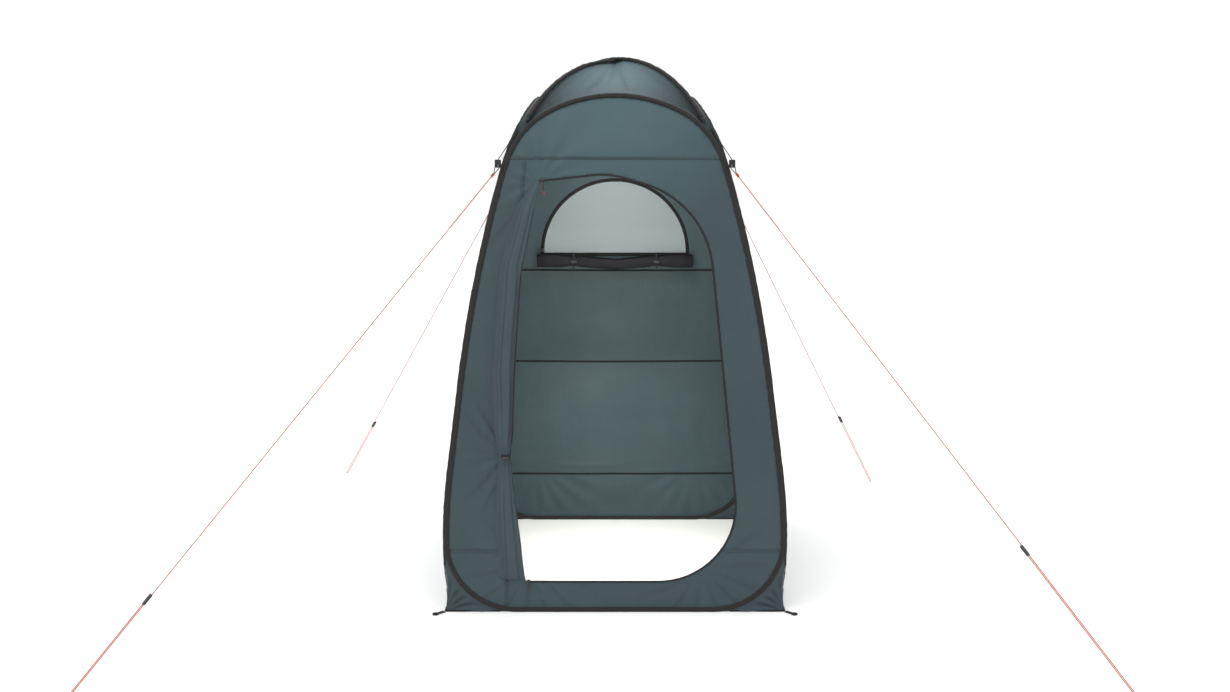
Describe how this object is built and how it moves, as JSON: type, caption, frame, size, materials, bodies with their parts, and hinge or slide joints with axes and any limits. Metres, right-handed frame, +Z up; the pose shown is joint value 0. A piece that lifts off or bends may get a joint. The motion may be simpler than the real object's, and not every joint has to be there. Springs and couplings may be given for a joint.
{
  "type": "privacy shower tent",
  "caption": "Square pop-up privacy shower tent with sprung fabric walls, domed roof on crossing rods, tied-back zip door, zip window and guy lines.",
  "frame": {"origin": "centre of the square footprint on the ground", "axes": "+Z up, the door faces -Y, +X is to the right of someone facing the door from outside"},
  "size_m": [3.1597, 2.8569, 1.9509],
  "materials": {
    "spring_steel": "spring steel band",
    "binding_fabric": "charcoal woven binding",
    "wall_fabric": "slate blue-grey coated polyester",
    "roof_fabric": "light slate coated polyester",
    "rod_fibreglass": "fibreglass rod",
    "zip_tape": "black coil zip tape",
    "slider_metal": "dark zip slider",
    "puller_plastic": "red-brown cord pull",
    "dark_plastic": "dark moulded plastic",
    "mesh_fabric": "pale translucent window mesh",
    "cover_fabric": "dark rolled window cover",
    "guy_cord": "orange braided cord",
    "webbing": "black webbing",
    "black_cord": "black elastic cord"
  },
  "bodies": {
    "tent": {"back_hoop_sleeve": "binding_fabric", "back_roof_gore": "roof_fabric", "back_spring_hoop": "spring_steel", "back_wall": "wall_fabric", "door_panel": "wall_fabric", "door_zip_tape": "zip_tape", "front_hoop_sleeve": "binding_fabric", "front_left_gusset": "wall_fabric", "front_right_gusset": "wall_fabric", "front_roof_gore": "roof_fabric", "front_spring_hoop": "spring_steel", "front_wall": "wall_fabric", "guy_line_front_left": "guy_cord", "guy_line_front_right": "guy_cord", "guy_line_rear_left": "guy_cord", "guy_line_rear_right": "guy_cord", "guy_tabs": "webbing", "hem_tape": "binding_fabric", "left_hoop_sleeve": "binding_fabric", "left_roof_gore": "roof_fabric", "left_spring_hoop": "spring_steel", "left_wall": "wall_fabric", "rear_left_gusset": "wall_fabric", "rear_right_gusset": "wall_fabric", "right_hoop_sleeve": "binding_fabric", "right_roof_gore": "roof_fabric", "right_spring_hoop": "spring_steel", "right_wall": "wall_fabric", "rod_pockets": "binding_fabric", "roof_rod_a": "rod_fibreglass", "roof_rod_b": "rod_fibreglass", "roof_rod_sleeve_a": "binding_fabric", "roof_rod_sleeve_b": "binding_fabric", "seam_tapes": "binding_fabric", "tab_loops": "black_cord", "tie_loops": "black_cord", "window_cover_roll": "cover_fabric", "window_mesh": "mesh_fabric", "window_zip_binding": "zip_tape"},
    "runner_front_left": {"guy_runner_front_left": "dark_plastic", "guy_strand_front_left": "guy_cord"},
    "peg_loop_front_left": {"peg_loop_front_left": "webbing"},
    "runner_front_right": {"guy_runner_front_right": "dark_plastic", "guy_strand_front_right": "guy_cord"},
    "peg_loop_front_right": {"peg_loop_front_right": "webbing"},
    "runner_rear_right": {"guy_runner_rear_right": "dark_plastic", "guy_strand_rear_right": "guy_cord"},
    "peg_loop_rear_right": {"peg_loop_rear_right": "webbing"},
    "runner_rear_left": {"guy_runner_rear_left": "dark_plastic", "guy_strand_rear_left": "guy_cord"},
    "peg_loop_rear_left": {"peg_loop_rear_left": "webbing"},
    "door_slider_top": {"door_zip_slider_top": "slider_metal"},
    "door_puller_top": {"door_zip_puller_top": "puller_plastic"},
    "door_slider_bottom": {"door_zip_slider_bottom": "slider_metal"},
    "door_puller_bottom": {"door_zip_puller_bottom": "puller_plastic"},
    "window_slider": {"window_zip_slider": "slider_metal"},
    "window_puller": {"window_zip_puller": "puller_plastic"},
    "door_toggle": {"door_toggle": "dark_plastic"},
    "window_toggle_left": {"window_toggle_left": "dark_plastic"},
    "window_toggle_right": {"window_toggle_right": "dark_plastic"}
  },
  "joints": [
    {"name": "runner_slide_front_left", "type": "slide", "parent": "tent", "child": "runner_front_left", "axis": [0.549, 0.4519, 0.7031], "range_m": [0, 0.3]},
    {"name": "runner_slide_front_right", "type": "slide", "parent": "tent", "child": "runner_front_right", "axis": [-0.5265, 0.4597, 0.7152], "range_m": [0, 0.3]},
    {"name": "runner_slide_rear_right", "type": "slide", "parent": "tent", "child": "runner_rear_right", "axis": [-0.4295, -0.4388, 0.7893], "range_m": [0, 0.3]},
    {"name": "runner_slide_rear_left", "type": "slide", "parent": "tent", "child": "runner_rear_left", "axis": [0.4523, -0.4966, 0.7408], "range_m": [0, 0.3]},
    {"name": "peg_loop_lift_front_right", "type": "hinge", "parent": "tent", "child": "peg_loop_front_right", "pos_m": [0.60052, -0.60052, 0.002], "axis": [-0.7071, -0.7071, 0], "range_deg": [0, 88]},
    {"name": "peg_loop_lift_rear_right", "type": "hinge", "parent": "tent", "child": "peg_loop_rear_right", "pos_m": [0.60052, 0.60052, 0.002], "axis": [0.7071, -0.7071, 0], "range_deg": [0, 88]},
    {"name": "peg_loop_lift_rear_left", "type": "hinge", "parent": "tent", "child": "peg_loop_rear_left", "pos_m": [-0.60052, 0.60052, 0.002], "axis": [0.7071, 0.7071, 0], "range_deg": [0, 88]},
    {"name": "peg_loop_lift_front_left", "type": "hinge", "parent": "tent", "child": "peg_loop_front_left", "pos_m": [-0.60052, -0.60052, 0.002], "axis": [-0.7071, 0.7071, 0], "range_deg": [0, 88]},
    {"name": "door_slider_top_run", "type": "slide", "parent": "tent", "child": "door_slider_top", "axis": [0.9938, 0.0293, 0.1068], "range_m": [0, 0.15]},
    {"name": "door_slider_bottom_run", "type": "slide", "parent": "tent", "child": "door_slider_bottom", "axis": [1, 0, 0], "range_m": [0, 0.42]},
    {"name": "door_puller_top_swing", "type": "hinge", "parent": "door_slider_top", "child": "door_puller_top", "pos_m": [-0.253, -0.41757, 1.50302], "axis": [-0.9938, -0.0293, -0.1068], "range_deg": [0, 100]},
    {"name": "door_puller_bottom_swing", "type": "hinge", "parent": "door_slider_bottom", "child": "door_puller_bottom", "pos_m": [-0.303, -0.6058, 0.11], "axis": [-1, 0, 0], "range_deg": [0, 100]},
    {"name": "window_slider_turn", "type": "hinge", "parent": "tent", "child": "window_slider", "pos_m": [0, 0.48348, 1.185], "axis": [0, 0.9743, 0.225], "range_deg": [0, 170]},
    {"name": "window_puller_swing", "type": "hinge", "parent": "window_slider", "child": "window_puller", "pos_m": [-0.302, 0.46746, 1.19394], "axis": [0, -0.225, 0.9743], "range_deg": [0, 100]},
    {"name": "door_toggle_turn", "type": "hinge", "parent": "tent", "child": "door_toggle", "pos_m": [-0.378, -0.61535, 0.556], "axis": [0, 1, 0], "range_deg": [-90, 90]},
    {"name": "window_toggle_turn_left", "type": "hinge", "parent": "tent", "child": "window_toggle_left", "pos_m": [-0.172, 0.4277, 1.15], "axis": [0, 1, 0], "range_deg": [-90, 90]},
    {"name": "window_toggle_turn_right", "type": "hinge", "parent": "tent", "child": "window_toggle_right", "pos_m": [0.172, 0.4277, 1.15], "axis": [0, 1, 0], "range_deg": [-90, 90]}
  ]
}
